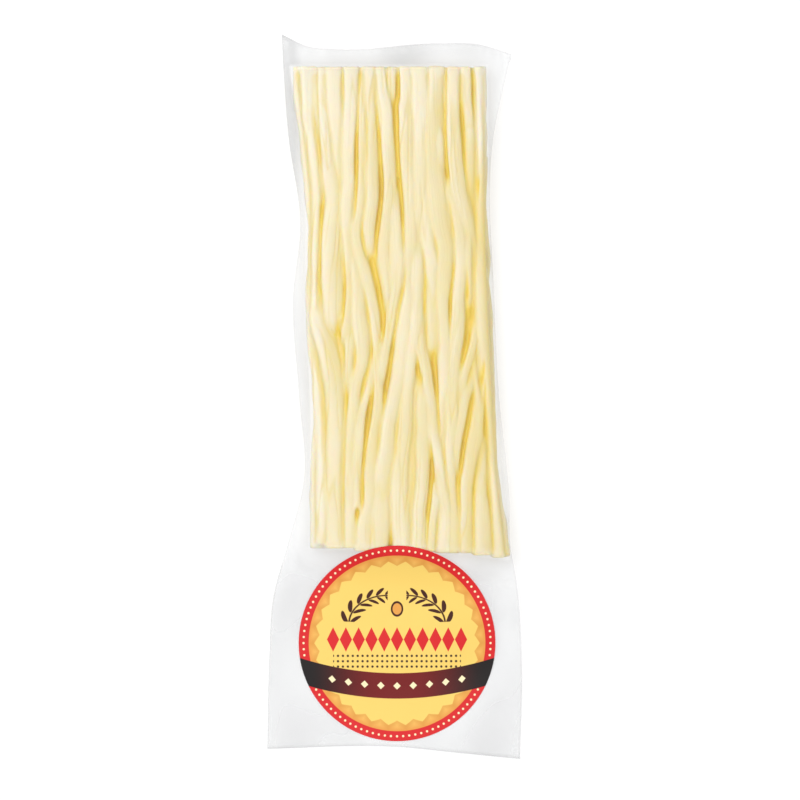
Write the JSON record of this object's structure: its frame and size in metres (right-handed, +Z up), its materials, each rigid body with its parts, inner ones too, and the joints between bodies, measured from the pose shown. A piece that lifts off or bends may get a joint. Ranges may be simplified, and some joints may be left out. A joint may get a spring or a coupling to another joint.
{
  "type": "vacuum-packed string cheese",
  "caption": "Clear vacuum pouch drawn tight round a flat bundle of straight pale string cheese, with a round paper label on its empty end.",
  "frame": {"origin": "on the table, under the middle of the pack's box", "axes": "+X across the pack, +Y along the strings and away from the label, +Z up out of the labelled face"},
  "size_m": [0.1036, 0.2943, 0.0157],
  "materials": {
    "pouch_film": "clear glossy plastic film, drawn tight over the strings and lightly creased",
    "cheese": "moist, pale cream cheese, a little translucent, deeper yellow in the creases",
    "label_paper": "printed coated paper with a low sheen"
  },
  "bodies": {
    "root": {"vacuum_pouch": "pouch_film", "label": "label_paper"}
  },
  "joints": []
}
